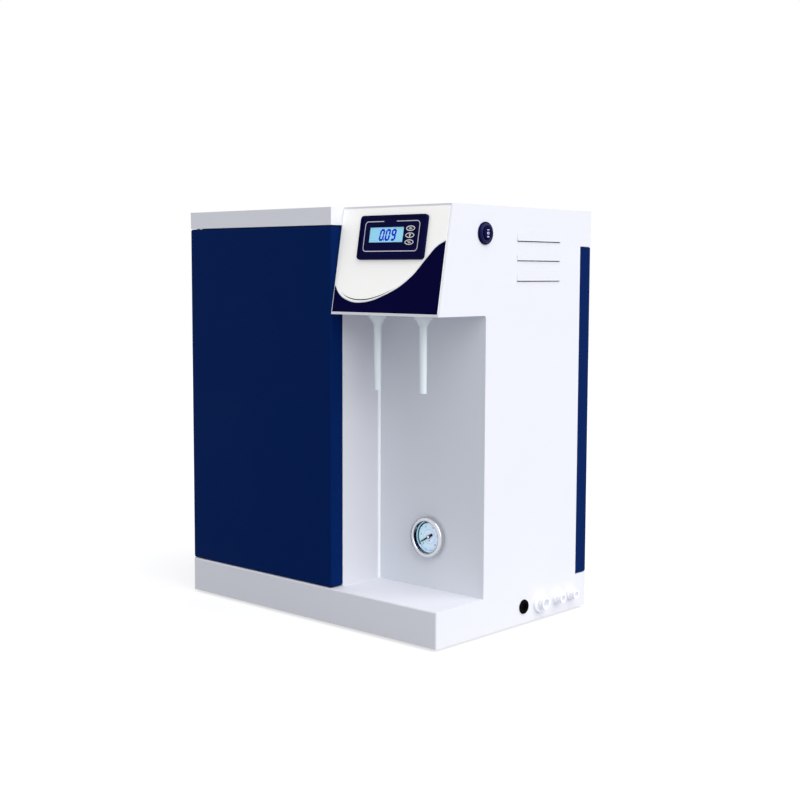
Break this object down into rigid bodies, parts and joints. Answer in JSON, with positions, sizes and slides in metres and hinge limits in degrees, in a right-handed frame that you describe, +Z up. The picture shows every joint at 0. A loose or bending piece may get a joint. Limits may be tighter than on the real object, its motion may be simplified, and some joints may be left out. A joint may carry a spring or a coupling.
{
  "type": "laboratory water purifier",
  "caption": "Bench-top ultrapure water system: cabinet with a hinged front door, sloping control panel with meter, open dispensing bay with nozzles, pressure gauge and side hose ports.",
  "frame": {"origin": "centre of the footprint, at the bottom of the feet", "axes": "+X to the right, +Y to the back, +Z up; the door and control panel face -Y"},
  "size_m": [0.41, 0.2716, 0.468],
  "materials": {
    "white_paint": "white powder coat",
    "grey_paint": "pale grey powder coat",
    "navy_paint": "navy blue satin powder coat",
    "black_rubber": "black rubber",
    "zinc_steel": "zinc plated steel",
    "magnet": "dark ferrite",
    "panel_film": "printed film, pale with a navy sweep",
    "bezel_plastic": "dark navy plastic",
    "circuit_board": "green circuit board",
    "display": "backlit pale blue display",
    "clear_window": "clear window",
    "button_rubber": "dark keys with pale rings",
    "nozzle_plastic": "milky white plastic",
    "stainless": "polished stainless steel",
    "gauge_glass": "clear glass",
    "gauge_dial": "pale dial with printed scale",
    "pointer_black": "black pointer",
    "brass": "brass",
    "switch_plastic": "dark blue plastic",
    "port_plastic": "white fitting plastic",
    "filter_plastic": "white filter plastic",
    "probe_plastic": "black plastic",
    "pump_metal": "grey painted metal",
    "pump_plastic": "black pump head",
    "valve": "dark valve body and coil",
    "plunger_steel": "steel plunger",
    "hose_plastic": "milky tubing"
  },
  "bodies": {
    "cabinet": {"base_plinth": "white_paint", "left_side_panel": "white_paint", "right_side_panel": "white_paint", "top_cover": "white_paint", "control_panel": "white_paint", "bay_side_wall": "grey_paint", "bay_back_panel": "grey_paint", "head_underside": "grey_paint", "rear_cover": "navy_paint", "rubber_feet": "black_rubber", "cable_grommet": "black_rubber", "case_screws": "zinc_steel", "hinge_pins": "zinc_steel", "hinge_brackets": "zinc_steel", "mounting_panel": "zinc_steel", "pump_bracket": "zinc_steel", "door_magnets": "magnet", "panel_overlay": "panel_film", "meter_bezel": "bezel_plastic", "meter_case": "bezel_plastic", "meter_board": "circuit_board", "controller_board": "circuit_board", "lcd_module": "display", "display_window": "clear_window", "left_nozzle": "nozzle_plastic", "right_nozzle": "nozzle_plastic", "gauge_case": "stainless", "gauge_bezel": "stainless", "gauge_glass": "gauge_glass", "gauge_dial": "gauge_dial", "gauge_socket": "brass", "switch_body": "switch_plastic", "hose_ports": "port_plastic", "panel_nuts": "port_plastic", "cartridge_heads": "filter_plastic", "membrane_housing": "filter_plastic", "membrane_cap": "filter_plastic", "polishing_cartridge": "filter_plastic", "filter_clips": "filter_plastic", "conductivity_probe": "probe_plastic", "pressure_switches": "probe_plastic", "pump_motor": "pump_metal", "power_supply": "pump_metal", "pump_head": "pump_plastic", "solenoid_valve": "valve", "inner_tubing": "hose_plastic"},
    "door": {"front_door": "navy_paint"},
    "sediment_cartridge": {"sediment_cartridge": "filter_plastic"},
    "carbon_cartridge": {"carbon_cartridge": "filter_plastic"},
    "scale_cartridge": {"scale_cartridge": "filter_plastic"},
    "left_button": {"left_button": "button_rubber"},
    "up_button": {"up_button": "button_rubber"},
    "set_button": {"set_button": "button_rubber"},
    "gauge_pointer": {"gauge_pointer": "pointer_black"},
    "switch_cap": {"switch_cap": "switch_plastic"},
    "feed_collet": {"feed_collet": "port_plastic"},
    "tank_collet": {"tank_collet": "port_plastic"},
    "drain_collet": {"drain_collet": "port_plastic"},
    "pump_rotor": {"pump_rotor": "pump_metal"},
    "solenoid_plunger": {"solenoid_plunger": "plunger_steel"}
  },
  "joints": [
    {"name": "door_hinge", "type": "hinge", "parent": "cabinet", "child": "door", "pos_m": [-0.201, -0.1268, 0.243], "axis": [0, 0, -1], "range_deg": [0, 110]},
    {"name": "sediment_turn", "type": "hinge", "parent": "cabinet", "child": "sediment_cartridge", "pos_m": [-0.16, -0.0458, 0.198], "axis": [0, 0, 1], "range_deg": [0, 90]},
    {"name": "carbon_turn", "type": "hinge", "parent": "cabinet", "child": "carbon_cartridge", "pos_m": [-0.085, -0.0458, 0.198], "axis": [0, 0, 1], "range_deg": [0, 90]},
    {"name": "scale_turn", "type": "hinge", "parent": "cabinet", "child": "scale_cartridge", "pos_m": [-0.01, -0.0458, 0.198], "axis": [0, 0, 1], "range_deg": [0, 90]},
    {"name": "left_press", "type": "slide", "parent": "cabinet", "child": "left_button", "axis": [0, 0.9851, -0.1718], "range_m": [0, 0.0004], "stiffness_N_per_m": 800, "springref_m": -0.0005},
    {"name": "up_press", "type": "slide", "parent": "cabinet", "child": "up_button", "axis": [0, 0.9851, -0.1718], "range_m": [0, 0.0004], "stiffness_N_per_m": 800, "springref_m": -0.0005},
    {"name": "set_press", "type": "slide", "parent": "cabinet", "child": "set_button", "axis": [0, 0.9851, -0.1718], "range_m": [0, 0.0004], "stiffness_N_per_m": 800, "springref_m": -0.0005},
    {"name": "pointer_turn", "type": "hinge", "parent": "cabinet", "child": "gauge_pointer", "pos_m": [0.1175, -0.0601, 0.102], "axis": [0, 1, 0], "range_deg": [-14, 256]},
    {"name": "switch_press", "type": "slide", "parent": "cabinet", "child": "switch_cap", "axis": [-1, 0, 0], "range_m": [0, 0.003], "stiffness_N_per_m": 400, "springref_m": -0.002},
    {"name": "feed_release", "type": "slide", "parent": "cabinet", "child": "feed_collet", "axis": [-1, 0, 0], "range_m": [0, 0.001], "stiffness_N_per_m": 800, "springref_m": -0.0005},
    {"name": "tank_release", "type": "slide", "parent": "cabinet", "child": "tank_collet", "axis": [-1, 0, 0], "range_m": [0, 0.001], "stiffness_N_per_m": 800, "springref_m": -0.0005},
    {"name": "drain_release", "type": "slide", "parent": "cabinet", "child": "drain_collet", "axis": [-1, 0, 0], "range_m": [0, 0.001], "stiffness_N_per_m": 800, "springref_m": -0.0005},
    {"name": "pump_spin", "type": "hinge", "parent": "cabinet", "child": "pump_rotor", "pos_m": [-0.125, 0.0542, 0.093], "axis": [1, 0, 0], "continuous": true},
    {"name": "plunger_lift", "type": "slide", "parent": "cabinet", "child": "solenoid_plunger", "axis": [0, 0, 1], "range_m": [0, 0.003], "stiffness_N_per_m": 200, "springref_m": -0.002}
  ]
}
